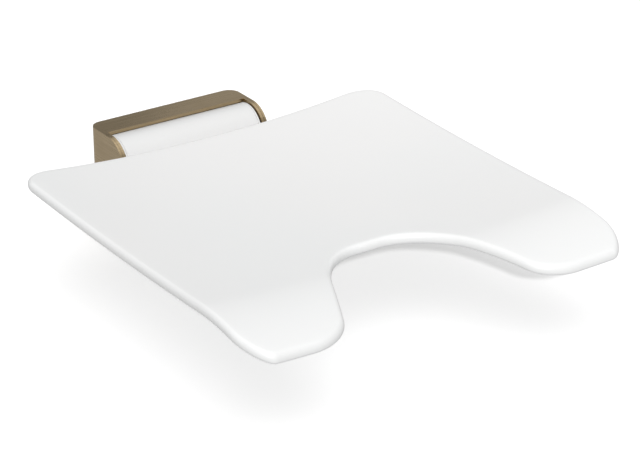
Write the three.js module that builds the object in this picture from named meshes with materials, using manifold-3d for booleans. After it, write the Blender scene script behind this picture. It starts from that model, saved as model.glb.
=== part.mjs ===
// Wall-mounted folding shower seat, in millimetres.
// The wall is the plane y = 0, the seat reaches out along -Y, +Z is up, and x = 0 is the mirror plane.
// The hinge axis runs along X through y = AXIS_Y, z = 0.

import * as THREE from 'three';
import { mergeVertices } from 'three/addons/utils/BufferGeometryUtils.js';
import { TessellateModifier } from 'three/addons/modifiers/TessellateModifier.js';
import Module from 'manifold-3d';

const GAP = 0.3; // clearance between pieces that touch

// console
const CONSOLE_WIDTH = 186.4;
const CONSOLE_BOTTOM = -66;
const AXIS_Y = -44;
const NOSE_RADIUS = 32.7; // round the hinge axis, from the flat top to the apron
const CONSOLE_TOP = NOSE_RADIUS;
const NOSE_END_ANGLE = 30; // degrees below the axis, where the flat apron starts
const EDGE_RADIUS = 1.6; // outer edges of the cheeks
const REAR_CORNER = 13.6; // upright corners beside the wall, seen from above
const LIP_FRONT = -32.4; // front edge of the top plate
const LIP_HEIGHT = 3.7;
const SIDE_WALL = 2.6;
const APRON_WALL = 2.5;
const APRON_TOP = -20;
const BOTTOM_WALL = 3.5;
const BOTTOM_CORNER = 8;

// wall bracket inside the housing
const PLATE_THICKNESS = 4;
const PLATE_HALF_WIDTH = 79;
const PLATE_TOP = 24;
const PLATE_BOTTOM = -60;
const PLATE_CORNER = 6;
const SLOT_WIDTH = 9;
const SLOT_LENGTH = 16;
const SLOT_X = 64;
const SLOT_Z = [-12, -46];
const LUG_THICKNESS = 3.3;
const LUG_FOOT_X = 74; // the foot reaches in to here, in front of the plate
const LUG_FOOT = 4; // thickness of the foot
const STOP_BAR_DEPTH = 6.7;
const STOP_BAR_Z = [9, 19];
const STOP_PAD_HALF_WIDTH = 8;
const COVER_SCREW_X = 50;
const COVER_SCREW_Y = -11.5;
const COVER_SHELF_Y = -19;
const COVER_SCREW_RADIUS = 2;
const COVER_HEAD_RADIUS = 4;
const COVER_HEAD_HEIGHT = 1.8;

// hinge
const SHAFT_RADIUS = 8;
const BUSH_WALL = 2;
const BUSH_FLANGE_RADIUS = 13;
const BUSH_LENGTH = 22;
const FLANGE = 2;
const HUB_RADIUS = 15;
const RING_THICKNESS = 1.2;
const RING_RADIUS = 11;
const SPRING_WASHER = 2.2;
const FRICTION_WASHER = 1.5;
const WASHER_RADIUS = 12.5;
const DRUM_RADIUS = 30.6;
const DRUM_WALL = 2.2;
const DRUM_CAP = 2;
const DRUM_SIDES = 56;
const DRUM_OPEN_FROM = 118; // degrees from the front, over the top
const DRUM_OPEN_TO = 226;
const CHEEK_CLEARANCE = 1.2;

// arms under the seat
const ARM_X = 57;
const ARM_THICKNESS = 10;
const ARM_RING = 20;
const ARM_TOP = 3.9;
const ARM_DEPTH_AT_HUB = 15;
const ARM_DEPTH_AT_TIP = 9;
const ARM_TIP_Y = -377;
const ARM_TIP_CHAMFER = 4;
const ARM_TAPER_Y = -103; // where the taper to the tip starts
const HEEL_REACH = 36.5; // stop heel behind the axis
const HEEL_HALF_HEIGHT = 5;
const STRAP_THICKNESS = 4;
const STRAP_WIDTH = 30;
const STRAP_HALF_LENGTH = 96;
const STRAP_Y = [-141, -357];
const SEAT_SCREW_X = [-80, 0, 80];
const SEAT_SCREW_RADIUS = 3;
const SEAT_HEAD_RADIUS = 5.5;
const SEAT_HEAD_HEIGHT = 3.3;
const SEAT_SCREW_REACH = 9.5; // above the strap
const BOSS_RADIUS = 9;

// seat plate, measured from its rear edge
const SEAT_REAR_Y = -82.7;
const SEAT_TOP = 22.9; // at the middle of the rear edge, above the hinge axis
const SEAT_WIDTH = 450;
const SEAT_DEPTH = 471;
const SEAT_THICKNESS = 12.4;
const SEAT_EDGE = 5.7;
const CUT_REAR = 328.3; // rear edge of the cut-out
const CUT_REAR_HALF = 57.2;
const CUT_FRONT_HALF = 119.5;
const SEAT_SLOPE = 9; // how far the front would stand above the rear
const SIDE_RISE_REAR = 14.3; // how far the sides stand above the middle
const SIDE_RISE_FRONT = 7;
const MIDDLE_SAG = 5.2;
const FRONT_DROP = 21;
const DROP_START = 371;
const DROP_POWER = 1.75;
const FACET = 48; // longest edge of a seat facet

const HALF = CONSOLE_WIDTH / 2;
const LUG_OUTER = HALF - SIDE_WALL - GAP;
const LUG_INNER = LUG_OUTER - LUG_THICKNESS;
const PLATE_FRONT = -PLATE_THICKNESS - GAP;
const STOP_FRONT = PLATE_FRONT - STOP_BAR_DEPTH;
const HEEL_TOP = HEEL_HALF_HEIGHT + GAP;
const STRAP_TOP = ARM_TOP + GAP + STRAP_THICKNESS;

const wasm = await Module();
wasm.setup();

const steel = { color: 0xa9adb0, roughness: 0.4, metalness: 0.9 };
const bronze = { color: 0x8c7f67, roughness: 0.35, metalness: 0.9 };
const whitePlastic = { color: 0xf1f2f0, roughness: 0.45, metalness: 0 };
const whiteCoat = { color: 0xe6e7e5, roughness: 0.5, metalness: 0.1 };
const bearingPlastic = { color: 0xd9cfa8, roughness: 0.5, metalness: 0 };
const frictionLining = { color: 0x3a3835, roughness: 0.8, metalness: 0 };

const shower_seat = new THREE.Group();

function add(name, geometry, finish) {
  const mesh = new THREE.Mesh(geometry, new THREE.MeshStandardMaterial(finish));
  mesh.name = name;
  shower_seat.add(mesh);
  return mesh;
}

// A closed mesh as a solid that can be joined and cut.
function solid(geometry) {
  const bare = geometry.clone();
  bare.deleteAttribute('normal');
  bare.deleteAttribute('uv');
  const merged = mergeVertices(bare, 1e-4);
  return new wasm.Manifold(new wasm.Mesh({
    numProp: 3,
    vertProperties: Float32Array.from(merged.attributes.position.array),
    triVerts: Uint32Array.from(merged.index.array),
  }));
}

function geometryOf(body) {
  const mesh = body.getMesh();
  const geometry = new THREE.BufferGeometry();
  geometry.setAttribute('position', new THREE.BufferAttribute(mesh.vertProperties, 3));
  geometry.setIndex(new THREE.BufferAttribute(mesh.triVerts, 1));
  geometry.computeVertexNormals();
  return geometry;
}

function joined(...geometries) {
  return geometries.map(solid).reduce((whole, piece) => whole.add(piece));
}

function cut(body, ...geometries) {
  return geometries.map(solid).reduce((rest, piece) => rest.subtract(piece), body);
}

// A block between two opposite corners.
function block([x0, y0, z0], [x1, y1, z1]) {
  const geometry = new THREE.BoxGeometry(x1 - x0, y1 - y0, z1 - z0);
  return geometry.translate((x0 + x1) / 2, (y0 + y1) / 2, (z0 + z1) / 2);
}

// Turns a shape's own x, y and depth to the part's Y, Z and X.
const SIDE_VIEW = new THREE.Matrix4().makeBasis(
  new THREE.Vector3(0, 1, 0), new THREE.Vector3(0, 0, 1), new THREE.Vector3(1, 0, 0));

// A shape drawn in (y, z), extruded along X from x0 to x1.
function alongX(shape, x0, x1, bevel = 0) {
  const geometry = new THREE.ExtrudeGeometry(shape, {
    depth: x1 - x0 - 2 * bevel,
    bevelEnabled: bevel > 0,
    bevelSize: bevel,
    bevelThickness: bevel,
    bevelOffset: -bevel,
    bevelSegments: 3,
    curveSegments: 12,
  });
  return geometry.translate(0, 0, x0 + bevel).applyMatrix4(SIDE_VIEW);
}

// A ring or disc on the hinge axis, between x0 and x1.
function roundAxis(outer, inner, x0, x1, sides = 28) {
  const shape = new THREE.Shape().absarc(AXIS_Y, 0, outer, 0, 2 * Math.PI, false);
  if (inner > 0) shape.holes.push(new THREE.Path().absarc(AXIS_Y, 0, inner, 0, 2 * Math.PI, true));
  const geometry = new THREE.ExtrudeGeometry(shape, {
    depth: x1 - x0, bevelEnabled: false, curveSegments: sides / 2,
  });
  return geometry.translate(0, 0, x0).applyMatrix4(SIDE_VIEW);
}

// An upright round pin.
function upright(radius, x, y, z0, z1, sides = 16) {
  const geometry = new THREE.CylinderGeometry(radius, radius, z1 - z0, sides, 1, false, Math.PI / sides);
  return geometry.rotateX(Math.PI / 2).translate(x, y, (z0 + z1) / 2);
}

// Outline of the console from the side, its back at y = rear and its other lines moved in by inset.
function consoleProfile(rear, inset) {
  const below = THREE.MathUtils.degToRad(NOSE_END_ANGLE);
  const radius = NOSE_RADIUS - inset;
  const start = new THREE.Vector2(AXIS_Y - radius * Math.cos(below), -radius * Math.sin(below));
  const bottom = CONSOLE_BOTTOM + inset;
  const footY = start.x + (start.y - bottom) * Math.tan(below);
  const shape = new THREE.Shape();
  shape.moveTo(rear, bottom);
  shape.lineTo(rear, CONSOLE_TOP - inset);
  shape.absarc(AXIS_Y, 0, radius, Math.PI / 2, Math.PI + below, false);
  shape.lineTo(footY - BOTTOM_CORNER * Math.sin(below), bottom + BOTTOM_CORNER * Math.cos(below));
  shape.quadraticCurveTo(footY, bottom, footY + BOTTOM_CORNER, bottom);
  shape.closePath();
  return shape;
}

// The room that the top plate takes, between x0 and x1, from the lip back past the wall.
function underTopPlate(x0, x1, gap) {
  return block([x0, LIP_FRONT - gap, CONSOLE_TOP - LIP_HEIGHT - gap], [x1, 40, CONSOLE_TOP + 10]);
}

// An upright prism over the console's outline seen from above, moved in by inset.
function fromAbove(inset) {
  const half = HALF - inset;
  const radius = REAR_CORNER - inset;
  const shape = new THREE.Shape();
  shape.moveTo(-half, -100);
  shape.lineTo(half, -100);
  shape.absarc(half - radius, -inset - radius, radius, 0, Math.PI / 2, false);
  shape.absarc(radius - half, -inset - radius, radius, Math.PI / 2, Math.PI, false);
  shape.closePath();
  const geometry = new THREE.ExtrudeGeometry(shape, {
    depth: 200, bevelEnabled: false, curveSegments: 8,
  });
  return geometry.translate(0, 0, -100);
}

// ---- wall bracket: plate, two lugs, stop bar --------------------------------------------------

function wallPlate() {
  const slots = [-SLOT_X, SLOT_X].flatMap((x) => SLOT_Z.map((z) => {
    const half = (SLOT_LENGTH - SLOT_WIDTH) / 2;
    const radius = SLOT_WIDTH / 2;
    const path = new THREE.Path();
    path.absarc(x + half, z, radius, -Math.PI / 2, Math.PI / 2, false);
    path.absarc(x - half, z, radius, Math.PI / 2, 1.5 * Math.PI, false);
    path.closePath();
    return path;
  }));
  const shape = new THREE.Shape();
  const r = PLATE_CORNER;
  shape.moveTo(PLATE_HALF_WIDTH - r, PLATE_BOTTOM);
  shape.absarc(PLATE_HALF_WIDTH - r, PLATE_BOTTOM + r, r, -Math.PI / 2, 0, false);
  shape.absarc(PLATE_HALF_WIDTH - r, PLATE_TOP - r, r, 0, Math.PI / 2, false);
  shape.absarc(r - PLATE_HALF_WIDTH, PLATE_TOP - r, r, Math.PI / 2, Math.PI, false);
  shape.absarc(r - PLATE_HALF_WIDTH, PLATE_BOTTOM + r, r, Math.PI, 1.5 * Math.PI, false);
  shape.closePath();
  shape.holes.push(...slots);
  const geometry = new THREE.ExtrudeGeometry(shape, {
    depth: PLATE_THICKNESS, bevelEnabled: false, curveSegments: 8,
  });
  return geometry.rotateX(Math.PI / 2);
}

// A cheek plate whose rear end bends inwards into a foot on the wall plate.
function lug(side) {
  const x0 = side < 0 ? -HALF : LUG_FOOT_X;
  const x1 = side < 0 ? -LUG_FOOT_X : HALF;
  const footFront = PLATE_FRONT - LUG_FOOT;
  const outside = solid(alongX(consoleProfile(PLATE_FRONT, 0), x0, x1));
  const bent = outside.intersect(solid(fromAbove(SIDE_WALL + GAP)));
  const core = solid(fromAbove(SIDE_WALL + GAP + LUG_THICKNESS));
  const inFront = solid(block([x0, -100, -100], [x1, footFront, 100]));
  const body = bent.subtract(core.intersect(inFront));
  const overBottom = block([x0 - 1, -100, CONSOLE_BOTTOM - 1],
    [x1 + 1, 1, CONSOLE_BOTTOM + BOTTOM_WALL + GAP]);
  const bore = roundAxis(SHAFT_RADIUS + GAP, 0, x0 - 1, x1 + 1);
  return geometryOf(cut(body, underTopPlate(x0 - 1, x1 + 1, GAP), overBottom,
    apronSpace(x0 - 1, x1 + 1), bore));
}

// The room that the apron wall takes from whatever stands behind it.
function apronSpace(x0, x1) {
  const wall = APRON_WALL + GAP;
  const ring = solid(alongX(consoleProfile(10, -5), x0, x1));
  const inner = alongX(consoleProfile(20, wall), x0 - 1, x1 + 1);
  const below = block([x0 - 2, -100, -100], [x1 + 2, 30, APRON_TOP + GAP]);
  return geometryOf(cut(ring, inner).intersect(solid(below)));
}

add('wall_plate', wallPlate(), steel);
add('left_lug', lug(-1), bronze);
add('right_lug', lug(1), bronze);

const stopBarHalf = LUG_FOOT_X - GAP;
add('stop_bar', block([-stopBarHalf, STOP_FRONT, STOP_BAR_Z[0]],
  [stopBarHalf, PLATE_FRONT, STOP_BAR_Z[1]]), steel);
for (const [side, x] of [['left', -ARM_X], ['right', ARM_X]]) {
  add(`${side}_stop_pad`, block([x - STOP_PAD_HALF_WIDTH, STOP_FRONT, HEEL_TOP],
    [x + STOP_PAD_HALF_WIDTH, PLATE_FRONT, STOP_BAR_Z[0] - GAP]), frictionLining);
}

// ---- housing and what fastens it ---------------------------------------------------------------

function housing() {
  const wide = solid(alongX(consoleProfile(20, 0), -HALF, HALF, EDGE_RADIUS));
  const outer = wide.intersect(solid(fromAbove(0)));
  const room = HALF - SIDE_WALL;
  const inside = cut(
    solid(alongX(consoleProfile(30, APRON_WALL), -room, room)),
    underTopPlate(-HALF, HALF, 0),
    block([-HALF, -100, CONSOLE_BOTTOM], [HALF, 40, CONSOLE_BOTTOM + BOTTOM_WALL]));
  const hollow = inside.intersect(solid(fromAbove(SIDE_WALL)));
  const backHalf = HALF - REAR_CORNER;
  const atTheBack = inside.intersect(solid(block([-backHalf, -SIDE_WALL - 5, -100], [backHalf, 30, 100])));
  const slot = block([-room, -100, APRON_TOP], [room, LIP_FRONT, CONSOLE_TOP + 5]);
  const screws = [-COVER_SCREW_X, COVER_SCREW_X].flatMap((x) => [
    upright(COVER_SCREW_RADIUS + GAP, x, COVER_SCREW_Y, CONSOLE_BOTTOM - 1, CONSOLE_BOTTOM + 9),
    upright(COVER_HEAD_RADIUS + GAP, x, COVER_SCREW_Y, CONSOLE_BOTTOM - 1,
      CONSOLE_BOTTOM + COVER_HEAD_HEIGHT + GAP),
  ]);
  return geometryOf(cut(outer.subtract(hollow).subtract(atTheBack), slot, ...screws));
}

add('housing', housing(), bronze);

const shelf = CONSOLE_BOTTOM + BOTTOM_WALL + GAP;
const coverBracket = joined(
  block([-COVER_SCREW_X - 12, COVER_SHELF_Y, shelf], [COVER_SCREW_X + 12, PLATE_FRONT, shelf + 3]),
  block([-COVER_SCREW_X - 12, PLATE_FRONT - 3, shelf], [COVER_SCREW_X + 12, PLATE_FRONT, shelf + 9]));
const bracketHoles = [-COVER_SCREW_X, COVER_SCREW_X].map(
  (x) => upright(COVER_SCREW_RADIUS + GAP, x, COVER_SCREW_Y, shelf - 1, shelf + 4));
add('cover_bracket', geometryOf(cut(coverBracket, ...bracketHoles)), steel);

for (const [side, x] of [['left', -COVER_SCREW_X], ['right', COVER_SCREW_X]]) {
  const head = upright(COVER_HEAD_RADIUS, x, COVER_SCREW_Y, CONSOLE_BOTTOM,
    CONSOLE_BOTTOM + COVER_HEAD_HEIGHT);
  const shank = upright(COVER_SCREW_RADIUS, x, COVER_SCREW_Y, CONSOLE_BOTTOM + 1, shelf + 5);
  add(`${side}_cover_screw`, geometryOf(joined(head, shank)), steel);
}

// ---- hinge: shaft, rings, washers, bushes, hub ----------------------------------------------

add('hinge_shaft', roundAxis(SHAFT_RADIUS, 0, -LUG_OUTER, LUG_OUTER), steel);

// Pieces stacked inwards from each lug; every entry gives its thickness, bore and outer radius.
const ringStack = [
  ['retaining_ring', RING_THICKNESS, SHAFT_RADIUS + GAP, RING_RADIUS, steel],
  ['spring_washer', SPRING_WASHER, SHAFT_RADIUS + GAP, WASHER_RADIUS, steel],
  ['friction_washer', FRICTION_WASHER, SHAFT_RADIUS + GAP, WASHER_RADIUS, frictionLining],
];
let stackFace = LUG_INNER - GAP;
for (const [name, thickness, bore, radius, finish] of ringStack) {
  const near = stackFace - thickness;
  const split = block([-LUG_OUTER, AXIS_Y - 2, 0], [LUG_OUTER, AXIS_Y + 2, 20]);
  for (const side of ['left', 'right']) {
    const [x0, x1] = side === 'left' ? [-stackFace, -near] : [near, stackFace];
    const ring = solid(roundAxis(radius, bore, x0, x1));
    add(`${side}_${name}`, geometryOf(name === 'retaining_ring' ? cut(ring, split) : ring), finish);
  }
  stackFace = near - GAP;
}

const bushRadius = SHAFT_RADIUS + GAP + BUSH_WALL;
const hubHalf = stackFace - FLANGE - GAP;
for (const side of ['left', 'right']) {
  const span = (a, b) => (side === 'left' ? [-b, -a] : [a, b]);
  const flange = roundAxis(BUSH_FLANGE_RADIUS, SHAFT_RADIUS + GAP, ...span(stackFace - FLANGE, stackFace));
  const sleeve = roundAxis(bushRadius, SHAFT_RADIUS + GAP,
    ...span(stackFace - FLANGE - BUSH_LENGTH, stackFace - FLANGE + 0.5));
  add(`${side}_bush`, geometryOf(joined(flange, sleeve)), bearingPlastic);
}
add('hinge_hub', roundAxis(HUB_RADIUS, bushRadius + GAP, -hubHalf, hubHalf), steel);

// ---- arms, straps and seat screws ---------------------------------------------------------------

// A cut plate with a ring round the hub, a heel behind it and a beam that tapers to the front.
function arm(x) {
  const x0 = x - ARM_THICKNESS / 2;
  const x1 = x + ARM_THICKNESS / 2;
  const ring = roundAxis(ARM_RING, 0, x0, x1);
  const heel = block([x0, AXIS_Y, -HEEL_HALF_HEIGHT], [x1, AXIS_Y + HEEL_REACH, HEEL_HALF_HEIGHT]);
  const beam = new THREE.Shape();
  beam.moveTo(AXIS_Y, ARM_TOP);
  beam.lineTo(ARM_TIP_Y, ARM_TOP);
  beam.lineTo(ARM_TIP_Y, ARM_TOP - ARM_DEPTH_AT_TIP + ARM_TIP_CHAMFER);
  beam.lineTo(ARM_TIP_Y + ARM_TIP_CHAMFER, ARM_TOP - ARM_DEPTH_AT_TIP);
  beam.lineTo(ARM_TAPER_Y, ARM_TOP - ARM_DEPTH_AT_HUB);
  beam.lineTo(AXIS_Y, ARM_TOP - ARM_DEPTH_AT_HUB);
  beam.closePath();
  const bore = roundAxis(HUB_RADIUS + GAP, 0, x0 - 1, x1 + 1);
  return geometryOf(cut(joined(ring, heel, alongX(beam, x0, x1)), bore));
}

add('left_arm', arm(-ARM_X), whiteCoat);
add('right_arm', arm(ARM_X), whiteCoat);

['rear', 'front'].forEach((place, index) => {
  const y = STRAP_Y[index];
  const strap = solid(block([-STRAP_HALF_LENGTH, y - STRAP_WIDTH / 2, ARM_TOP + GAP],
    [STRAP_HALF_LENGTH, y + STRAP_WIDTH / 2, STRAP_TOP]));
  const holes = SEAT_SCREW_X.map(
    (x) => upright(SEAT_SCREW_RADIUS + GAP, x, y, STRAP_TOP - STRAP_THICKNESS - 1, STRAP_TOP + 1));
  add(`${place}_strap`, geometryOf(cut(strap, ...holes)), whiteCoat);
  SEAT_SCREW_X.forEach((x, column) => {
    const head = upright(SEAT_HEAD_RADIUS, x, y, ARM_TOP - SEAT_HEAD_HEIGHT, ARM_TOP);
    const shank = upright(SEAT_SCREW_RADIUS, x, y, ARM_TOP - 1, STRAP_TOP + SEAT_SCREW_REACH);
    add(`seat_screw_${index * SEAT_SCREW_X.length + column + 1}`, geometryOf(joined(head, shank)), steel);
  });
});

// ---- white drum over the hinge --------------------------------------------------------------------

// A wedge that clears the stop heels behind the drum, as a fan of straight lines from the axis.
function heelWedge() {
  const shape = new THREE.Shape();
  const reach = 60;
  shape.moveTo(AXIS_Y, 0);
  for (const degrees of [DRUM_OPEN_FROM, 150, 180, 210, DRUM_OPEN_TO]) {
    const angle = THREE.MathUtils.degToRad(180 - degrees);
    shape.lineTo(AXIS_Y + reach * Math.cos(angle), reach * Math.sin(angle));
  }
  shape.closePath();
  return alongX(shape, -HALF, HALF);
}

const drumHalf = LUG_INNER - CHEEK_CLEARANCE;
const capInner = drumHalf - DRUM_CAP;
const armPorts = [-ARM_X, ARM_X].map((x) => block(
  [x - ARM_THICKNESS / 2 - GAP, AXIS_Y - 40, ARM_TOP - ARM_DEPTH_AT_HUB - GAP],
  [x + ARM_THICKNESS / 2 + GAP, AXIS_Y, ARM_TOP + GAP]));
const drum = solid(roundAxis(DRUM_RADIUS, DRUM_RADIUS - DRUM_WALL, -capInner + GAP, capInner - GAP,
  DRUM_SIDES));
add('hinge_drum', geometryOf(cut(drum, heelWedge(), ...armPorts)), whitePlastic);
for (const [side, x0] of [['left', -drumHalf], ['right', capInner]]) {
  const cap = solid(roundAxis(DRUM_RADIUS, BUSH_FLANGE_RADIUS + 1, x0, x0 + DRUM_CAP,
    DRUM_SIDES));
  add(`${side}_drum_cap`, geometryOf(cut(cap, heelWedge())), whitePlastic);
}

// ---- seat plate -----------------------------------------------------------------------------------

// Outline with its corners eased: each corner starts before and ends after the vertex by the given
// lengths, and its handles reach towards the vertex by the given share of them.
function easedOutline(vertices) {
  const shape = new THREE.Shape();
  vertices.forEach(({ at, before, after, share }, index) => {
    const previous = vertices[(index + vertices.length - 1) % vertices.length].at;
    const next = vertices[(index + 1) % vertices.length].at;
    const start = at.clone().add(previous.clone().sub(at).setLength(before));
    const end = at.clone().add(next.clone().sub(at).setLength(after));
    const first = start.clone().lerp(at, share);
    const second = end.clone().lerp(at, share);
    if (index === 0) shape.moveTo(start.x, start.y);
    else shape.lineTo(start.x, start.y);
    shape.bezierCurveTo(first.x, first.y, second.x, second.y, end.x, end.y);
  });
  shape.closePath();
  return shape;
}

function seatOutline() {
  const half = SEAT_WIDTH / 2;
  const corner = (x, y, before, after, share) => ({ at: new THREE.Vector2(x, y), before, after, share });
  const right = [
    corner(half, 0, 35, 31, 0.55),
    corner(half, -SEAT_DEPTH, 47, 25, 0.46),
    corner(CUT_FRONT_HALF, -SEAT_DEPTH + 2.3, 38, 27, 0.58),
    corner(CUT_REAR_HALF, -CUT_REAR, 66, 43, 0.62),
  ];
  const left = right.map(({ at, before, after, share }) => (
    corner(-at.x, at.y, after, before, share))).reverse();
  return easedOutline([...right, ...left].reverse().map(
    ({ at, before, after, share }) => corner(at.x, at.y, after, before, share)));
}

// Height of the seat's surface against its flat reference plane.
function contour(x, y) {
  const along = THREE.MathUtils.clamp(-y / SEAT_DEPTH, 0, 1);
  const rise = THREE.MathUtils.lerp(SIDE_RISE_REAR, SIDE_RISE_FRONT, along);
  const sides = rise * (2 * x / SEAT_WIDTH) ** 2;
  const drop = Math.max(0, (-y - DROP_START) / (SEAT_DEPTH - DROP_START));
  return SEAT_SLOPE * along + sides - FRONT_DROP * drop ** DROP_POWER - MIDDLE_SAG * 4 * along * (1 - along);
}

function seatPlate() {
  const flat = new THREE.ExtrudeGeometry(seatOutline(), {
    depth: SEAT_THICKNESS - 2 * SEAT_EDGE,
    bevelEnabled: true,
    bevelSize: SEAT_EDGE,
    bevelThickness: SEAT_EDGE,
    bevelOffset: -SEAT_EDGE,
    bevelSegments: 3,
    curveSegments: 5,
  });
  flat.translate(0, 0, SEAT_EDGE - SEAT_THICKNESS);
  const fine = new TessellateModifier(FACET, 20).modify(flat);
  const place = fine.attributes.position;
  for (let i = 0; i < place.count; i += 1) {
    place.setZ(i, place.getZ(i) + contour(place.getX(i), place.getY(i)));
  }
  fine.translate(0, SEAT_REAR_Y, SEAT_TOP);
  const spots = STRAP_Y.flatMap((y) => SEAT_SCREW_X.map((x) => [x, y]));
  const underside = ([x, y]) => SEAT_TOP - SEAT_THICKNESS + contour(x, y - SEAT_REAR_Y);
  const bosses = spots.map((spot) => upright(BOSS_RADIUS, ...spot, STRAP_TOP + GAP, underside(spot) + 3));
  const holes = spots.map((spot) => upright(SEAT_SCREW_RADIUS + GAP, ...spot, STRAP_TOP - 5,
    STRAP_TOP + SEAT_SCREW_REACH + GAP));
  return geometryOf(cut(joined(fine, ...bosses), ...holes));
}

add('seat_plate', seatPlate(), whitePlastic);

export default shower_seat;
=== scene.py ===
# A wall-mounted folding shower seat: a white moulded plate with an open front, carried by two arms that turn
# on a shaft inside a brushed bronze console. Metres. The wall is y = 0, the seat reaches along -Y, +Z is up.

import math

import bmesh
import bpy
import numpy as np
from mathutils import Matrix, Vector
from mathutils.geometry import delaunay_2d_cdt


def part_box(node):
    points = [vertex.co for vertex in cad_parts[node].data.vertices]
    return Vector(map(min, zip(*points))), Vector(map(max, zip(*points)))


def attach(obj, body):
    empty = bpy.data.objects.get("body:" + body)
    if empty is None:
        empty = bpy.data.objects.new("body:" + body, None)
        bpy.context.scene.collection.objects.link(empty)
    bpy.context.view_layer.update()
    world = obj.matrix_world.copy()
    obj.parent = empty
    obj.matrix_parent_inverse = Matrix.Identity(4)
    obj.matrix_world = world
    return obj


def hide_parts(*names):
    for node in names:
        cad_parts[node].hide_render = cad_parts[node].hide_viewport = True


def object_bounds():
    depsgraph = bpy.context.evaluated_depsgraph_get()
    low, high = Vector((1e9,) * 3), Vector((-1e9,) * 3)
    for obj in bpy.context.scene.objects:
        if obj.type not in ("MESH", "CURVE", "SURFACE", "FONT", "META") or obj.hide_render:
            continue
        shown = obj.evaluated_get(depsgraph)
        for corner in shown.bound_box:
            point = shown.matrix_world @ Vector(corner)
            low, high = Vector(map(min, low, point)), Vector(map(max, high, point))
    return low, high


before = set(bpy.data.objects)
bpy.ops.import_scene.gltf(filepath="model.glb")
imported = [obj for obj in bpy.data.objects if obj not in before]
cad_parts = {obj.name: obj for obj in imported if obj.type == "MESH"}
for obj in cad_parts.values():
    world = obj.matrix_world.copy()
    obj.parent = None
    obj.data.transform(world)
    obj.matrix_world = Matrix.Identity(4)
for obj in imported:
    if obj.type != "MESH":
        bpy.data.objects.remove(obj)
cad_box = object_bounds()


# ---- Camera -------------------------------------------------------------------------------------------
# A long lens from the front left, looking down on the seat. It leans by less than half a degree, as a
# hand-levelled camera does.

camera_place = Vector((-1.43525, -2.50876, 1.21849))
camera_azimuth = math.radians(-33.253)
camera_elevation = math.radians(24.826)
camera_roll = math.radians(-0.434)

back = Vector((
    math.sin(camera_azimuth) * math.cos(camera_elevation),
    -math.cos(camera_azimuth) * math.cos(camera_elevation),
    math.sin(camera_elevation),
))
level_right = Vector((math.cos(camera_azimuth), math.sin(camera_azimuth), 0))
level_up = back.cross(level_right)
right = level_right * math.cos(camera_roll) + level_up * math.sin(camera_roll)
up = level_up * math.cos(camera_roll) - level_right * math.sin(camera_roll)

camera = bpy.data.objects.new("camera", bpy.data.cameras.new("camera"))
camera.data.sensor_width = 36
camera.data.lens = 157.43
camera.data.clip_end = 50
camera.matrix_world = Matrix.Translation(camera_place) @ Matrix((right, up, back)).transposed().to_4x4()
bpy.context.collection.objects.link(camera)
bpy.context.scene.camera = camera


# ---- Floor and light ----------------------------------------------------------------------------------
# A pale studio floor just under the console. A soft sun stands close beside the camera, under a sky that is
# brightest overhead, and two boxes at the right light the end of the bronze and the rim of the seat.

class Wire:
    """An output socket of a node tree. Sums and products with wires or numbers add Math nodes."""

    def __init__(self, tree, socket=None):
        self.tree = tree
        self.socket = socket

    def node(self, kind, settings=None, sockets=None, output=0):
        """Adds a node: its settings come first, then the values or wires of its sockets."""
        made = self.tree.nodes.new(kind)
        for name, value in (settings or {}).items():
            if name == "stops":
                ramp = made.color_ramp.elements
                while len(ramp) < len(value):
                    ramp.new(1)
                for element, (position, colour) in zip(ramp, value):
                    element.position = position
                    element.color = colour
            else:
                setattr(made, name, value)
        for key, value in (sockets or {}).items():
            if isinstance(value, Wire):
                self.tree.links.new(value.socket, made.inputs[key])
            else:
                made.inputs[key].default_value = value
        return Wire(self.tree, made.outputs[output] if len(made.outputs) else None)

    def math(self, operation, *values):
        return self.node("ShaderNodeMath", {"operation": operation}, dict(enumerate(values)))

    def mix(self, factor, first, second):
        """A colour between two others."""
        return self.node("ShaderNodeMix", {"data_type": "RGBA"}, {0: factor, 6: first, 7: second}, output=2)

    def __add__(self, other):
        return self.math("ADD", self, other)

    def __radd__(self, other):
        return self.math("ADD", other, self)

    def __sub__(self, other):
        return self.math("SUBTRACT", self, other)

    def __rsub__(self, other):
        return self.math("SUBTRACT", other, self)

    def __mul__(self, other):
        return self.math("MULTIPLY", self, other)

    def __truediv__(self, other):
        return self.math("DIVIDE", self, other)

    def __pow__(self, other):
        return self.math("POWER", self, other)


def grey(value):
    return (value, value, value, 1)


bpy.context.scene.view_settings.view_transform = "Standard"

MM = 0.001
floor_clearance = 4 * MM
floor_size = 60
floor_mesh = bpy.data.meshes.new("floor")
floor_mesh.from_pydata(
    [(x * floor_size / 2, y * floor_size / 2, cad_box[0].z - floor_clearance)
     for x, y in ((-1, -1), (1, -1), (1, 1), (-1, 1))], [], [(0, 1, 2, 3)])
floor = bpy.data.objects.new("floor", floor_mesh)
bpy.context.collection.objects.link(floor)
floor.visible_diffuse = False
floor.visible_glossy = False

floor_finish = bpy.data.materials.new("studio_floor")
floor_finish.use_nodes = True
floor_shader = floor_finish.node_tree.nodes["Principled BSDF"].inputs
floor_shader["Base Color"].default_value = grey(0.9)
floor_shader["Roughness"].default_value = 0.9
floor_shader["Specular IOR Level"].default_value = 0
floor_shader["Emission Color"].default_value = grey(1)
floor_shader["Emission Strength"].default_value = 0.24
floor_mesh.materials.append(floor_finish)

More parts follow.
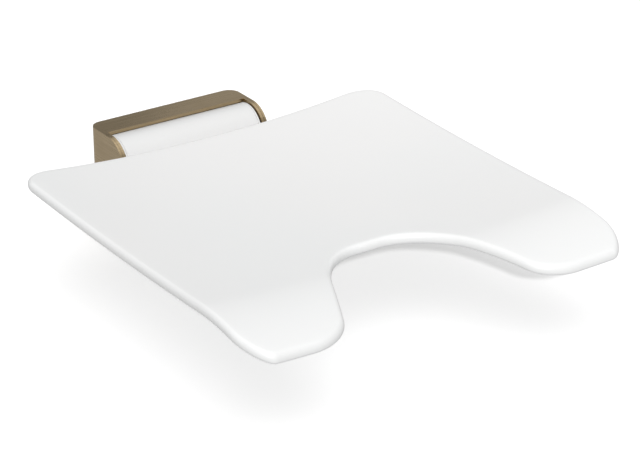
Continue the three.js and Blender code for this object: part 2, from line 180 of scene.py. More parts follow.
sky = bpy.data.worlds.new("studio")
sky.use_nodes = True
bpy.context.scene.world = sky
direction = Wire(sky.node_tree).node("ShaderNodeTexCoord", output="Generated")
height = direction.node("ShaderNodeSeparateXYZ", {}, {0: direction}, output="Z")
dome = height.node("ShaderNodeValToRGB", {"stops": [
    (0.0, grey(0.60)), (0.40, grey(0.60)), (0.52, grey(0.28)), (0.66, grey(0.22)),
    (0.78, grey(0.32)), (0.90, grey(1.08)), (1.0, grey(1.24))]}, {0: height * 0.5 + 0.5})
sky.node_tree.links.new(dome.socket, sky.node_tree.nodes["Background"].inputs["Color"])


def lamp(name, kind, energy, place, aim, **settings):
    light = bpy.data.objects.new(name, bpy.data.lights.new(name, kind))
    light.data.energy = energy
    for key, value in settings.items():
        setattr(light.data, key, value)
    toward = Vector(aim) - Vector(place)
    light.matrix_world = Matrix.Translation(place) @ toward.to_track_quat("-Z", "Y").to_matrix().to_4x4()
    bpy.context.collection.objects.link(light)


lamp("key_sun", "SUN", 1.95, (-1.025, -1.657, 1.0), (0, 0, 0), angle=math.radians(2))
lamp("right_rim_box", "AREA", 2.2, (1.6, 0.5, 0.35), (0.1, -0.3, 0),
     shape="RECTANGLE", size=0.5, size_y=1.6)
lamp("back_box", "AREA", 0.12, (0.42, 0.42, 0.42), (0.06, -0.02, 0.03),
     shape="RECTANGLE", size=0.34, size_y=0.5)


# ---- Seat plate ---------------------------------------------------------------------------------------
# One plate of solid white moulded plastic, 12 mm thick with a full-round rim. Its corners ease into the
# sides, the sides stand a little above the middle, and the front edge rolls down beside the cut-out.

seat_low, seat_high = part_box("seat_plate")
seat_half = seat_high.x
seat_depth = seat_high.y - seat_low.y
seat_rear = seat_high.y
seat_top = 22.9 * MM  # at the middle of the rear edge, above the hinge axis
seat_thickness = 12.4 * MM
rim_radius = 5.7 * MM
rim_steps = 9
seat_grid = 6 * MM

# Each corner: its point, the lengths it takes of the sides before and after it, and its fullness.
seat_corners = [
    (seat_half, 0.0, 0.035, 0.031, 0.55),
    (seat_half, -seat_depth, 0.047, 0.025, 0.46),
    (0.1195, 0.0023 - seat_depth, 0.038, 0.027, 0.58),
    (0.0572, -0.3283, 0.066, 0.043, 0.62),
]


def eased_outline(corners, arc_points, spacing):
    """Points along a closed outline whose corners are cubic curves, running clockwise from above."""
    points = []
    count = len(corners)
    for i, (x, y, before, after, share) in enumerate(corners):
        here = np.array((x, y))
        last = np.array(corners[i - 1][:2])
        following = np.array(corners[(i + 1) % count][:2])
        start_point = here + (last - here) / np.linalg.norm(last - here) * before
        end_point = here + (following - here) / np.linalg.norm(following - here) * after
        handles = start_point + (here - start_point) * share, end_point + (here - end_point) * share
        if points:
            gap = start_point - points[-1]
            steps = max(1, int(np.linalg.norm(gap) / spacing))
            points += [points[-1] + gap * k / steps for k in range(1, steps)]
        for t in np.linspace(0, 1, arc_points):
            points.append(start_point * (1 - t) ** 3 + handles[0] * 3 * t * (1 - t) ** 2
                          + handles[1] * 3 * t * t * (1 - t) + end_point * t ** 3)
    gap = points[0] - points[-1]
    steps = max(1, int(np.linalg.norm(gap) / spacing))
    points += [points[-1] + gap * k / steps for k in range(1, steps)]
    return np.array(points)


mirrored = [(-x, y, after, before, share) for x, y, before, after, share in reversed(seat_corners)]
outline = eased_outline(seat_corners + mirrored, 28, seat_grid)
ahead = np.roll(outline, -1, axis=0) - np.roll(outline, 1, axis=0)
ahead /= np.linalg.norm(ahead, axis=1)[:, None]
inward = np.stack((ahead[:, 1], -ahead[:, 0]), axis=1)


def seat_loop(inset, z):
    ring = outline + inward * inset
    return [(x, y + seat_rear, seat_top + z) for x, y in ring]


quarter = [math.pi / 2 * k / rim_steps for k in range(rim_steps + 1)]
rim = [(rim_radius * (1 - math.sin(a)), -rim_radius * (1 - math.cos(a))) for a in quarter]
rim += [(inset, -seat_thickness - z) for inset, z in reversed(rim)]
loops = [seat_loop(inset, z) for inset, z in rim]
ring_size = len(outline)
seat_points = [point for loop in loops for point in loop]
seat_faces = []
for k in range(len(loops) - 1):
    for i in range(ring_size):
        j = (i + 1) % ring_size
        here, below = k * ring_size, (k + 1) * ring_size
        seat_faces.append((here + j, here + i, below + i, below + j))

# The flat faces between the rims are filled with a grid of points joined to the innermost loops.
edge = np.array([(x, y) for x, y, _ in loops[0]])


def inside_edge(x, y):
    x0, y0 = edge[:, 0], edge[:, 1]
    x1, y1 = np.roll(x0, -1), np.roll(y0, -1)
    crossing = (y0 > y) != (y1 > y)
    where = x0 + (y - y0) * (x1 - x0) / np.where(crossing, y1 - y0, 1)
    return np.count_nonzero(crossing & (x < where)) % 2 == 1


def far_from_edge(x, y):
    return np.hypot(edge[:, 0] - x, edge[:, 1] - y).min() > 0.6 * seat_grid


columns = int(seat_half / seat_grid)
rows = int(seat_depth / seat_grid)
fill = [(c * seat_grid, seat_rear - r * seat_grid)
        for c in range(-columns, columns + 1) for r in range(1, rows + 1)]
fill = [(x, y) for x, y in fill if inside_edge(x, y) and far_from_edge(x, y)]
flat_points = [Vector(point) for point in edge.tolist() + fill]
flat = delaunay_2d_cdt(flat_points, [], [list(range(ring_size))], 1, 1e-7)
top_numbers = {}
bottom_numbers = {}
for number, origins in enumerate(flat[3]):
    source = min(origins)
    if source < ring_size:
        top_numbers[number] = source
        bottom_numbers[number] = (len(loops) - 1) * ring_size + source
    else:
        x, y = flat[0][number]
        top_numbers[number] = len(seat_points)
        bottom_numbers[number] = len(seat_points) + 1
        seat_points += [(x, y, seat_top), (x, y, seat_top - seat_thickness)]
for a, b, c in flat[2]:
    seat_faces.append((top_numbers[a], top_numbers[b], top_numbers[c]))
    seat_faces.append((bottom_numbers[c], bottom_numbers[b], bottom_numbers[a]))


def turn_outward(mesh):
    """Makes all faces of a closed mesh look outwards."""
    facing = bmesh.new()
    facing.from_mesh(mesh)
    bmesh.ops.recalc_face_normals(facing, faces=facing.faces)
    facing.to_mesh(mesh)
    facing.free()


seat_mesh = bpy.data.meshes.new("seat_shell")
seat_mesh.from_pydata(seat_points, [], seat_faces)
turn_outward(seat_mesh)
seat_mesh.shade_smooth()
seat_shell = bpy.data.objects.new("seat_shell", seat_mesh)
bpy.context.collection.objects.link(seat_shell)


def tree_with_inputs(name, numbers):
    """A geometry tree with one named number input for each entry, and a Material input."""
    tree = bpy.data.node_groups.new(name, "GeometryNodeTree")
    tree.interface.new_socket("Geometry", in_out="INPUT", socket_type="NodeSocketGeometry")
    for label, value in numbers.items():
        socket = tree.interface.new_socket(label, in_out="INPUT", socket_type="NodeSocketFloat")
        socket.default_value = value
    tree.interface.new_socket("Material", in_out="INPUT", socket_type="NodeSocketMaterial")
    tree.interface.new_socket("Geometry", in_out="OUTPUT", socket_type="NodeSocketGeometry")
    entry = tree.nodes.new("NodeGroupInput")
    inputs = {socket.name: Wire(tree, socket) for socket in entry.outputs if socket.name}
    return tree, inputs


def close_tree(inputs, geometry):
    """Ends a geometry tree: instances become real, and the material goes on."""
    real = geometry.node("GeometryNodeRealizeInstances", {}, {0: geometry})
    painted = real.node("GeometryNodeSetMaterial", {}, {"Geometry": real, "Material": inputs["Material"]})
    painted.node("NodeGroupOutput", {}, {0: painted})


def grown(piece, tree, material, **numbers):
    """Runs a geometry tree on a piece and leaves its result as the piece's plain mesh."""
    modifier = piece.modifiers.new(tree.name, "NODES")
    modifier.node_group = tree
    values = {label.replace("_", " "): value for label, value in numbers.items()}
    values["Material"] = material
    for socket in tree.interface.items_tree:
        if socket.in_out == "INPUT" and socket.name in values:
            modifier[socket.identifier] = values[socket.name]
    return settled(piece)


def settled(piece):
    """Turns a piece's modifiers into its plain mesh."""
    bpy.context.view_layer.update()
    seen = piece.evaluated_get(bpy.context.evaluated_depsgraph_get())
    mesh = bpy.data.meshes.new_from_object(seen, preserve_all_data_layers=True,
                                           depsgraph=bpy.context.evaluated_depsgraph_get())
    mesh.name = piece.name
    piece.modifiers.clear()
    piece.data = mesh
    return piece


def new_finish(name, constants):
    """A material, a wire to start its nodes from, and a function that feeds its shader's sockets."""
    material = bpy.data.materials.new(name)
    material.use_nodes = True
    shader = material.node_tree.nodes["Principled BSDF"]
    for key, value in constants.items():
        shader.inputs[key].default_value = value

    def feed(key, wire):
        material.node_tree.links.new(wire.socket, shader.inputs[key])

    return material, Wire(material.node_tree), feed


def scaled_place(start, x, y, z):
    """Object coordinates, stretched by three factors."""
    place = start.node("ShaderNodeTexCoord", output="Object")
    return place.node("ShaderNodeVectorMath", {"operation": "MULTIPLY"}, {0: place, 1: (x, y, z)})


def noise(place, scale, detail=3.0, roughness=0.5):
    return place.node("ShaderNodeTexNoise", {}, {
        "Vector": place, "Scale": scale, "Detail": detail, "Roughness": roughness})


def step(wire, low, high):
    """0 below low and 1 above high, with an eased change between."""
    return wire.node("ShaderNodeMapRange", {"interpolation_type": "SMOOTHSTEP"}, {
        "Value": wire, "From Min": low, "From Max": high})


def moulded_finish(name, grain_depth, gloss, painted_shade_scale=1.0):
    """White plastic from an eroded mould: a fine even grain, with faint rubbed patches and hairlines. Its
    last argument, when below 1, darkens every base tone as painted shade.
    """
    material, start, feed = new_finish(name, {"IOR": 1.49, "Specular IOR Level": 0.42})
    place = scaled_place(start, 1, 1, 1)
    grain = noise(place, 1500, 2.0, 0.6)
    pebble = place.node("ShaderNodeTexVoronoi", {"feature": "SMOOTH_F1"}, {
        "Vector": place, "Scale": 900, "Smoothness": 0.7})
    slow = noise(place, 7, 4.0, 0.55)
    hairlines = step(noise(scaled_place(start, 14, 1900, 400), 1, 1.0), 0.70, 0.78)
    rubbed = step(slow, 0.40, 0.62)
    # A scale below 1 darkens these three tones as painted shade.
    cold = [painted_shade_scale * level for level in (0.842, 0.848, 0.846)]
    warm = [painted_shade_scale * level for level in (0.856, 0.854, 0.850)]
    dull = [painted_shade_scale * level for level in (0.70, 0.70, 0.69)]
    white = start.mix(step(noise(place, 3.1, 2.0), 0.35, 0.65), (*cold, 1), (*warm, 1))
    shade = start.mix(hairlines * 0.10 + (1 - grain) * 0.06, white, (*dull, 1))
    feed("Base Color", shade)
    feed("Roughness", gloss + grain * 0.10 - rubbed * 0.05 + hairlines * 0.06)
    relief = grain * 0.6 + pebble * 0.4
    feed("Normal", relief.node("ShaderNodeBump", {}, {
        "Strength": 0.5, "Distance": grain_depth, "Height": relief}))
    return material


seat_plastic = moulded_finish("moulded_white_plastic", 0.00005, 0.38)

# The plate climbs to the front, its sides stand up, its middle sags, and it rolls off past the drop start.
climb = 0.009
rear_rise = 0.0143
front_rise = 0.007
sag_depth = 0.0052
contour, given = tree_with_inputs("seat_contour", {
    "Half width": seat_half, "Rear": seat_rear, "Depth": seat_depth, "Slope": climb,
    "Rear rise": rear_rise, "Front rise": front_rise, "Sag": sag_depth,
    "Front drop": 0.021, "Drop start": 0.371, "Drop power": 1.75})
spot = given["Geometry"].node("GeometryNodeInputPosition")
across = spot.node("ShaderNodeSeparateXYZ", {}, {0: spot}, output="X") / given["Half width"]
reach = given["Rear"] - spot.node("ShaderNodeSeparateXYZ", {}, {0: spot}, output="Y")
way_out = (reach / given["Depth"]).math("MAXIMUM", reach / given["Depth"], 0.0)
side_rise = (given["Rear rise"] + (given["Front rise"] - given["Rear rise"]) * way_out) * across * across
past = (reach - given["Drop start"]) / (given["Depth"] - given["Drop start"])
roll_off = given["Front drop"] * past.math("MAXIMUM", past, 0.0) ** given["Drop power"]
sag = given["Sag"] * 4 * way_out * (1 - way_out)
lift = given["Slope"] * way_out + side_rise - roll_off - sag
offset = lift.node("ShaderNodeCombineXYZ", {}, {"Z": lift})
close_tree(given, offset.node("GeometryNodeSetPosition", {}, {
    "Geometry": given["Geometry"], "Offset": offset}))

grown(seat_shell, contour, seat_plastic, Half_width=seat_half, Rear=seat_rear, Depth=seat_depth)


# Six round bosses under the plate take the screws of the straps. Each stands on a fillet of its own.

strap_places = [-0.141, -0.357]
screw_columns = [-0.080, 0.0, 0.080]
strap_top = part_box("rear_strap")[1].z
boss_radius = 9 * MM
boss_fillet = 2.5 * MM


def turned(name, profile, segments=64):
    """A closed solid turned about its own Z axis from (radius, height) points, bottom to top."""
    shape = bmesh.new()
    rings = []
    for radius, z in profile:
        if radius < 1e-6:
            rings.append([shape.verts.new((0, 0, z))])
        else:
            rings.append([shape.verts.new((radius * math.cos(a), radius * math.sin(a), z))
                          for a in (2 * math.pi * k / segments for k in range(segments))])
    for low, high in zip(rings, rings[1:]):
        for k in range(segments):
            after = (k + 1) % segments
            corner = [low[k % len(low)], low[after % len(low)], high[after % len(high)], high[k % len(high)]]
            shape.faces.new(list(dict.fromkeys(corner)))
    mesh = bpy.data.meshes.new(name)
    shape.to_mesh(mesh)
    shape.free()
    mesh.shade_smooth()
    return mesh


def seat_underside(x, y):
    """Height of the plate's lower face."""
    behind = (seat_rear - y) / seat_depth
    rise = rear_rise + (front_rise - rear_rise) * behind
    return (seat_top - seat_thickness + climb * behind + rise * (x / seat_half) ** 2
            - sag_depth * 4 * behind * (1 - behind))


boss_meshes = []
for y in strap_places:
    for x in screw_columns:
        ceiling = seat_underside(x, y)
        low = strap_top + 0.3 * MM
        flare = [(boss_radius + boss_fillet * (1 - math.cos(a)), ceiling - boss_fillet * (1 - math.sin(a)))
                 for a in (math.pi / 2 * k / 6 for k in range(7))]
        base = [(0, low), (boss_radius - 0.4 * MM, low), (boss_radius, low + 0.4 * MM)]
        mesh = turned("boss", base + flare + [(boss_radius + boss_fillet, ceiling + MM), (0, ceiling + MM)])
        mesh.transform(Matrix.Translation((x, y, 0)))
        boss_meshes.append(mesh)

seat_bosses = bmesh.new()
for mesh in boss_meshes:
    seat_bosses.from_mesh(mesh)
    bpy.data.meshes.remove(mesh)
seat_bosses.from_mesh(seat_shell.data)
seat_bosses.to_mesh(seat_shell.data)
seat_bosses.free()
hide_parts("seat_plate")
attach(seat_shell, "seat")


# ---- Console housing ----------------------------------------------------------------------------------
# The cover over the wall bracket: a folded and welded steel shell with soft outer edges, brushed along its
# width and plated in dark bronze. Its cheeks wrap round the hinge, and its top plate ends in a square lip.

console_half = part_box("housing")[1].x
console_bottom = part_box("housing")[0].z
axis_y = -44 * MM
nose_radius = 32.7 * MM
nose_end = math.radians(30)
rear_corner = 13.6 * MM
soft_edge = 1.6 * MM
lip_front = -32.4 * MM
lip_height = 3.7 * MM
side_wall = 2.6 * MM
apron_wall = 2.5 * MM
apron_top = -20 * MM
floor_wall = 3.5 * MM
bottom_corner = 8 * MM
fold = 0.3 * MM  # radius left on the cut edges


def console_outline(rear, inset, arc_points=56, corner_points=12):
    """The console from the side, (y, z), from its lower rear corner up and round; inset spares the rear."""
    radius = nose_radius - inset
    bottom = console_bottom + inset
    points = [(rear, bottom), (rear, radius)]
    for a in np.linspace(math.pi / 2, math.pi + nose_end, arc_points):
        points.append((axis_y + radius * math.cos(a), radius * math.sin(a)))
    foot = points[-1][0] + (points[-1][1] - bottom) * math.tan(nose_end)
    high = (foot - bottom_corner * math.sin(nose_end), bottom + bottom_corner * math.cos(nose_end))
    for t in np.linspace(0, 1, corner_points):
        weights = (1 - t) ** 2, 2 * t * (1 - t), t * t
        points.append((high[0] * weights[0] + foot * weights[1] + (foot + bottom_corner) * weights[2],
                       high[1] * weights[0] + bottom * (weights[1] + weights[2])))
    return points


def plan_outline(inset, arc_points=20):
    """The console from above, (x, y), anticlockwise from its front left, with its rounded rear corners."""
    half = console_half - inset
    radius = rear_corner - inset
    points = [(-half, -0.1), (half, -0.1)]
    for side_x, first in ((half - radius, 0), (radius - half, math.pi / 2)):
        for a in np.linspace(first, first + math.pi / 2, arc_points):
            points.append((side_x + radius * math.cos(a), -inset - radius + radius * math.sin(a)))
    return points


def prism(name, outline_points, low, high, across=True):
    """A closed solid between two like outlines: (y, z) drawn along X if across, else (x, y) drawn up."""
    size = len(outline_points)
    points = [(end, a, b) if across else (a, b, end) for end in (low, high) for a, b in outline_points]
    faces = [tuple(range(size)), tuple(reversed(range(size, 2 * size)))]
    faces += [((i + 1) % size, i, size + i, size + (i + 1) % size) for i in range(size)]
    mesh = bpy.data.meshes.new(name)
    mesh.from_pydata(points, [], faces)
    turn_outward(mesh)
    piece = bpy.data.objects.new(name, mesh)
    bpy.context.collection.objects.link(piece)
    return piece


def combined(piece, others, operation):
    """Cuts a piece by others, or keeps what they share, and removes the others."""
    for other in others:
        joining = piece.modifiers.new("join", "BOOLEAN")
        joining.object = other
        joining.operation = operation
        joining.solver = "EXACT"
    settled(piece)
    for other in others:
        bpy.data.objects.remove(other)
    return piece


def softened(piece, radius, segments, least_angle=38):
    """Rounds the edges that turn by more than the least angle."""
    easing = piece.modifiers.new("ease", "BEVEL")
    easing.width = radius
    easing.segments = segments
    easing.limit_method = "ANGLE"
    easing.angle_limit = math.radians(least_angle)
    return settled(piece)


def evened(piece):
    """Smooth shading that stays flat on flat faces."""
    piece.data.shade_smooth()
    piece.data.set_sharp_from_angle(angle=math.radians(48))
    weighting = piece.modifiers.new("even", "WEIGHTED_NORMAL")
    weighting.keep_sharp = True
    return settled(piece)


console_shell = prism("console_shell", console_outline(0, 0), -console_half, console_half)
combined(console_shell, [prism("plan", plan_outline(0), -0.1, 0.1, across=False)], "INTERSECT")
softened(console_shell, soft_edge, 5, 50)

# The room inside, under the lip and over the floor; it opens at the back, and in front of the lip.
inner_floor = console_bottom + floor_wall
under_lip = nose_radius - lip_height
inner_side = [(y, z) for y, z in console_outline(0.03, apron_wall)[2:] if inner_floor < z]
behind_lip = [(y, z) for y, z in inner_side if z < under_lip]
room_outline = [(0.03, inner_floor), (0.03, under_lip), *behind_lip,
                (behind_lip[-1][0] + 2 * MM, inner_floor)]
room_half = console_half - side_wall
room = prism("room", room_outline, -room_half, room_half)
combined(room, [prism("plan", plan_outline(side_wall), -0.1, 0.1, across=False)], "INTERSECT")
doorway_half = console_half - rear_corner
doorway_depth = -8 * MM
doorway = prism("doorway", [
    (0.03, inner_floor), (0.03, under_lip), (doorway_depth, under_lip), (doorway_depth, inner_floor)],
    -doorway_half, doorway_half)
window = prism("window", [(lip_front, 0.06), (-0.1, 0.06), (-0.1, apron_top), (lip_front, apron_top)],
               -room_half, room_half)

cover_screw_x = 50 * MM
cover_screw_y = -11.5 * MM
cover_head_radius = 4 * MM
cover_head_height = 1.8 * MM
screw_wells = bpy.data.objects.new("screw_wells", turned("screw_wells", [
    (0, -5 * MM), (cover_head_radius + 0.3 * MM, -5 * MM), (cover_head_radius + 0.3 * MM, 2.1 * MM),
    (2.3 * MM, 2.1 * MM), (2.3 * MM, 9 * MM), (0, 9 * MM)], 48))
bpy.context.collection.objects.link(screw_wells)
wells = bmesh.new()
for x in (-cover_screw_x, cover_screw_x):
    well = screw_wells.data.copy()
    well.transform(Matrix.Translation((x, cover_screw_y, console_bottom)))
    wells.from_mesh(well)
    bpy.data.meshes.remove(well)
wells.to_mesh(screw_wells.data)
wells.free()

combined(console_shell, [room, doorway, window, screw_wells], "DIFFERENCE")
softened(console_shell, fold, 2)
evened(console_shell)


def bronze_finish(name):
    """Bronze plating over a brushed sheet: fine lines along the width, or along the depth on the cheeks."""
    material, start, feed = new_finish(name, {"Metallic": 1.0})
    normal = start.node("ShaderNodeNewGeometry", output="Normal")
    facing = start.node("ShaderNodeSeparateXYZ", {}, {0: normal}, output="X")
    cheek = step(facing * facing, 0.45, 0.75)
    wide = noise(scaled_place(start, 9, 1500, 1500), 1, 4.0, 0.65)
    deep = noise(scaled_place(start, 1500, 9, 1500), 1, 4.0, 0.65)
    lines = wide * (1 - cheek) + deep * cheek
    place = scaled_place(start, 1, 1, 1)
    cloud = noise(place, 22, 4.0, 0.5)
    speck = step(noise(place, 2600, 1.0), 0.66, 0.74)
    tone = start.mix(step(lines, 0.34, 0.66), (0.40, 0.306, 0.182, 1), (0.50, 0.392, 0.244, 1))
    aged = start.mix(step(cloud, 0.42, 0.70) * 0.22, tone, (0.33, 0.245, 0.135, 1))
    feed("Base Color", start.mix(speck * 0.15, aged, (0.25, 0.18, 0.10, 1)))
    feed("Roughness", 0.30 + (lines - 0.5) * 0.22 + (cloud - 0.5) * 0.10)
    feed("Normal", lines.node("ShaderNodeBump", {}, {"Strength": 0.35, "Distance": 0.00002, "Height": lines}))
    return material


bronze = bronze_finish("brushed_bronze")
console_shell.data.materials.clear()
console_shell.data.materials.append(bronze)
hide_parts("housing")
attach(console_shell, "console")


# ---- Wall bracket -------------------------------------------------------------------------------------
# What carries the load: a slotted plate screwed to the wall, a lug welded on at each end, and a stop bar with
# two black rubber pads. The lugs are plated with the housing, because their rims show beside its cheeks.

def finished_copy(node, radius, material, body):
    """The CAD piece with its seams merged and its edges eased, in the given finish."""
    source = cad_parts[node]
    mesh = source.data.copy()
    mesh.materials.clear()
    mesh.materials.append(material)
    merged = bmesh.new()
    merged.from_mesh(mesh)
    bmesh.ops.remove_doubles(merged, verts=merged.verts, dist=2e-6)
    bmesh.ops.dissolve_limit(merged, angle_limit=math.radians(0.6), verts=merged.verts, edges=merged.edges)
    for face in merged.faces:
        face.smooth = True
    merged.to_mesh(mesh)
    merged.free()
    if "custom_normal" in mesh.attributes:
        mesh.attributes.remove(mesh.attributes["custom_normal"])
    piece = bpy.data.objects.new(node + "_finished", mesh)
    bpy.context.collection.objects.link(piece)
    softened(piece, radius, 2)
    evened(piece)
    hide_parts(node)
    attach(piece, body)
    return piece


def steel_finish(name, tone, gloss, streak):
    """Plain stainless sheet or bar: faint lines of the rolling or the grinding belt, with dull patches."""
    material, start, feed = new_finish(name, {"Metallic": 1.0})
    lines = noise(scaled_place(start, *streak), 1, 4.0, 0.6)
    place = scaled_place(start, 1, 1, 1)
    cloud = noise(place, 30, 4.0)
    dark = tuple(c * 0.78 for c in tone) + (1,)
    shade = start.mix(step(lines, 0.3, 0.7), dark, tone + (1,))
    feed("Base Color", start.mix(step(cloud, 0.5, 0.75) * 0.3, shade, dark))
    feed("Roughness", gloss + (lines - 0.5) * 0.25 + (cloud - 0.5) * 0.15)
    feed("Normal", lines.node("ShaderNodeBump", {}, {"Strength": 0.3, "Distance": 0.00002, "Height": lines}))
    return material


def rubber_finish(name, tone):
    """Pressed black lining or polyurethane: matt, speckled and a little dusty."""
    material, start, feed = new_finish(name, {"Specular IOR Level": 0.3})
    place = scaled_place(start, 1, 1, 1)
    crumbs = noise(place, 2200, 3.0, 0.7)
    dust = step(noise(place, 120, 4.0), 0.5, 0.75)
    feed("Base Color", start.mix(crumbs * 0.4 + dust * 0.2, tone + (1,), (0.16, 0.15, 0.14, 1)))
    feed("Roughness", 0.68 + crumbs * 0.2)
    feed("Normal", crumbs.node("ShaderNodeBump", {}, {
        "Strength": 0.6, "Distance": 0.00006, "Height": crumbs}))
    return material


sheet_steel = steel_finish("rolled_steel", (0.52, 0.53, 0.54), 0.34, (20, 900, 900))
pad_rubber = rubber_finish("stop_rubber", (0.018, 0.018, 0.018))
finished_copy("wall_plate", 0.4 * MM, sheet_steel, "console")
finished_copy("stop_bar", 0.6 * MM, sheet_steel, "console")
finished_copy("cover_bracket", 0.4 * MM, sheet_steel, "console")
for side in ("left", "right"):
    finished_copy(side + "_lug", 0.3 * MM, bronze, "console")
    finished_copy(side + "_stop_pad", 0.7 * MM, pad_rubber, "console")


# ---- Hinge cover --------------------------------------------------------------------------------------
# A white moulded drum that turns with the seat and closes the front of the console, with a loose cap at each
# end. It is smoother and glossier than the plate; its white is darkened to 0.84 of the plate's as painted
# shade, because the lamps light it more than the plate.

drum_plastic_painted_shade = moulded_finish("smooth_white_plastic_painted_shade", 0.00001, 0.30, 0.84)
finished_copy("hinge_drum", 0.3 * MM, drum_plastic_painted_shade, "seat")
for side in ("left", "right"):
    finished_copy(side + "_drum_cap", 0.3 * MM, drum_plastic_painted_shade, "seat")


# ---- Hinge core ---------------------------------------------------------------------------------------
# A ground steel shaft through both lugs. On it, from each lug inwards: a split retaining ring, a wavy spring
# washer, a friction washer, and a flanged bearing bush. The hub between them is welded to the arms.

ring_tree, ring_given = tree_with_inputs("turned_ring", {
    "Start": 0.0, "Length": 0.01, "Bore": 0.008, "Outer": 0.012, "Chamfer": 0.0003, "Axis Y": axis_y})
section = ring_given["Geometry"].node("GeometryNodeCurvePrimitiveQuadrilateral", {}, {
    "Width": ring_given["Outer"] - ring_given["Bore"], "Height": ring_given["Length"]})
eased = section.node("GeometryNodeFilletCurve", {}, {"Curve": section, "Radius": ring_given["Chamfer"]})
middle = (ring_given["Outer"] + ring_given["Bore"]) * 0.5
path = section.node("GeometryNodeCurvePrimitiveCircle", {}, {"Resolution": 96, "Radius": middle})
swept = path.node("GeometryNodeCurveToMesh", {}, {"Curve": path, "Profile Curve": eased})
centre = middle.node("ShaderNodeCombineXYZ", {}, {
    "X": ring_given["Start"] + ring_given["Length"] * 0.5, "Y": ring_given["Axis Y"]})
placed = swept.node("GeometryNodeTransform", {}, {
    "Geometry": swept, "Rotation": (0, math.pi / 2, 0), "Translation": centre})
close_tree(ring_given, placed)


def on_axis(node, material, body_name, chamfer):
    """A turned ring on the hinge axis, with the CAD piece's length and radii."""
    low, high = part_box(node)
    bore = min(math.hypot(v.co.y - axis_y, v.co.z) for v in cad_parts[node].data.vertices)
    piece = bpy.data.objects.new(node + "_turned", bpy.data.meshes.new(node + "_turned"))
    bpy.context.collection.objects.link(piece)
    grown(piece, ring_tree, material, Start=low.x, Length=high.x - low.x, Bore=bore,
          Outer=(high.z - low.z) / 2, Chamfer=chamfer, Axis_Y=axis_y)
    for face in piece.data.polygons:
        face.use_smooth = True
    piece.data.set_sharp_from_angle(angle=math.radians(30))
    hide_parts(node)
    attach(piece, body_name)
    return piece


def turned_steel_finish(name, tone, gloss):
    """Turned or ground steel: fine rings about the hinge axis."""
    material, start, feed = new_finish(name, {"Metallic": 1.0})
    place = start.node("ShaderNodeTexCoord", output="Object")
    x = place.node("ShaderNodeSeparateXYZ", {}, {0: place}, output="X")
    y = place.node("ShaderNodeSeparateXYZ", {}, {0: place}, output="Y") - axis_y
    z = place.node("ShaderNodeSeparateXYZ", {}, {0: place}, output="Z")
    radius = (y * y + z * z) ** 0.5
    along = x.node("ShaderNodeCombineXYZ", {}, {"X": x, "Y": radius})
    rings = noise(along, 3000, 3.0, 0.6)
    cloud = noise(place, 60, 3.0)
    dark = tuple(c * 0.8 for c in tone) + (1,)
    feed("Base Color", start.mix(rings, dark, tone + (1,)))
    feed("Roughness", gloss + (rings - 0.5) * 0.2 + (cloud - 0.5) * 0.12)
    feed("Normal", rings.node("ShaderNodeBump", {}, {"Strength": 0.3, "Distance": 0.00002, "Height": rings}))
    return material


ground_steel = turned_steel_finish("ground_steel", (0.56, 0.57, 0.58), 0.22)
lining = rubber_finish("friction_lining", (0.03, 0.026, 0.022))
bush_plastic = moulded_finish("bearing_plastic", 0.00003, 0.42)
on_axis("hinge_hub", ground_steel, "seat", 0.6 * MM)
for side in ("left", "right"):
    on_axis(side + "_spring_washer", ground_steel, "console", 0.3 * MM)
    on_axis(side + "_friction_washer", lining, "console", 0.2 * MM)
    finished_copy(side + "_retaining_ring", 0.15 * MM, ground_steel, "console")
    finished_copy(side + "_bush", 0.2 * MM, bush_plastic, "seat")
finished_copy("hinge_shaft", 0.6 * MM, ground_steel, "console")


# ---- Arms and straps ----------------------------------------------------------------------------------
# Two arms cut from 10 mm plate and two flat straps welded across them, all in a white powder coat with the
# slight orange peel of its spraying.

def powder_coat_finish(name):
    material, start, feed = new_finish(name, {"Coat Roughness": 0.25, "Specular IOR Level": 0.5})
    place = scaled_place(start, 1, 1, 1)
    peel = noise(place, 420, 2.0, 0.45)
    fine = noise(place, 2400, 2.0)
    rub = step(noise(scaled_place(start, 60, 500, 60), 1, 3.0), 0.66, 0.80)
    feed("Base Color", start.mix(rub * 0.35 + fine * 0.05, (0.78, 0.785, 0.78, 1), (0.60, 0.60, 0.59, 1)))
    feed("Roughness", 0.36 + fine * 0.14 + rub * 0.1)
    feed("Coat Weight", 0.25 - rub * 0.2)
    feed("Normal", peel.node("ShaderNodeBump", {}, {"Strength": 0.5, "Distance": 0.00012, "Height": peel}))
    return material


powder_coat = powder_coat_finish("white_powder_coat")
for node in ("left_arm", "right_arm", "rear_strap", "front_strap"):
    finished_copy(node, 0.8 * MM, powder_coat, "seat")


# ---- Screws -------------------------------------------------------------------------------------------
# Stainless socket screws with chamfered heads: six hold the plate to the straps from below, and two smaller
# ones hold the housing to its bracket.

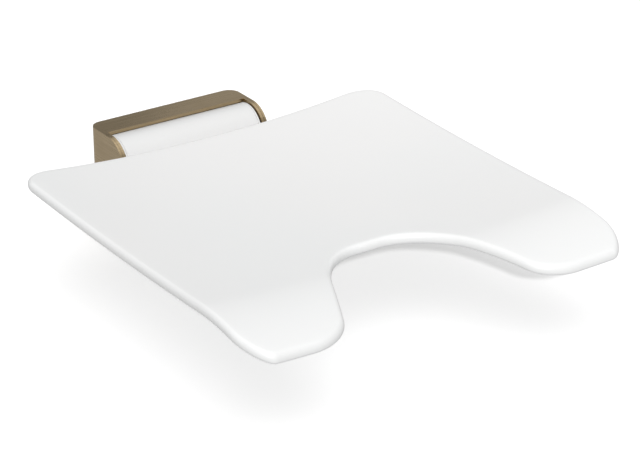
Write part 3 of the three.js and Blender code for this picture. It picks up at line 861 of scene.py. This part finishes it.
pattern, pattern_given = tree_with_inputs("screw_pattern", {
    "Columns": 3.0, "Count": 6.0, "Column pitch": 0.08, "Row pitch": 0.216, "X": 0.0, "Y": 0.0, "Z": 0.0})
index = pattern_given["Geometry"].node("GeometryNodeInputIndex")
column = index.math("FLOORED_MODULO", index, pattern_given["Columns"])
row = index.math("FLOOR", index / pattern_given["Columns"])
seat_of_screw = index.node("ShaderNodeCombineXYZ", {}, {
    "X": pattern_given["X"] + column * pattern_given["Column pitch"],
    "Y": pattern_given["Y"] - row * pattern_given["Row pitch"], "Z": pattern_given["Z"]})
spots = index.node("GeometryNodePoints", {}, {"Count": pattern_given["Count"], "Position": seat_of_screw})
repeated = spots.node("GeometryNodeInstanceOnPoints", {}, {
    "Points": spots, "Instance": pattern_given["Geometry"]})
close_tree(pattern_given, repeated)


def socket_screws(name, head, shank, socket, nodes, body_name, layout):
    """Socket screws, heads down. Head, shank and socket are each a radius and a height."""
    chamfer = 0.16 * head[0]
    piece = bpy.data.objects.new(name, turned(name, [
        (0, 0), (head[0] - chamfer, 0), (head[0] - 0.25 * chamfer, 0.25 * chamfer), (head[0], chamfer),
        (head[0], head[1] - 0.1 * MM), (head[0] - 0.1 * MM, head[1]), (shank[0], head[1]),
        (shank[0], head[1] + shank[1] - 0.5 * MM), (shank[0] - 0.5 * MM, head[1] + shank[1]),
        (0, head[1] + shank[1])], 48))
    bpy.context.collection.objects.link(piece)
    key = bpy.data.objects.new("key", turned("key", [
        (0, -MM), (socket[0], -MM), (socket[0], socket[1]), (0, socket[1] + 0.4 * socket[0])], 6))
    bpy.context.collection.objects.link(key)
    combined(piece, [key], "DIFFERENCE")
    softened(piece, 0.08 * MM, 1)
    evened(piece)
    grown(piece, pattern, ground_screw, **layout)
    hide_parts(*nodes)
    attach(piece, body_name)


ground_screw = steel_finish("screw_steel", (0.60, 0.61, 0.62), 0.26, (900, 900, 900))
screw_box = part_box("seat_screw_1")
screw_height = screw_box[1].z - screw_box[0].z
socket_screws("seat_screws", (5.5 * MM, 3.3 * MM), (3 * MM, screw_height - 3.3 * MM), (2.3 * MM, 2 * MM),
              ["seat_screw_%d" % n for n in range(1, 7)], "seat", {
                  "X": screw_columns[0], "Y": strap_places[0], "Z": screw_box[0].z,
                  "Row_pitch": strap_places[0] - strap_places[1]})
cover_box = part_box("left_cover_screw")
cover_height = cover_box[1].z - cover_box[0].z
socket_screws("cover_screws", (cover_head_radius, cover_head_height),
              (2 * MM, cover_height - cover_head_height), (1.5 * MM, 1.1 * MM),
              ["left_cover_screw", "right_cover_screw"], "console", {
                  "Columns": 2.0, "Count": 2.0, "Column_pitch": 2 * cover_screw_x, "X": -cover_screw_x,
                  "Y": cover_screw_y, "Z": cover_box[0].z})
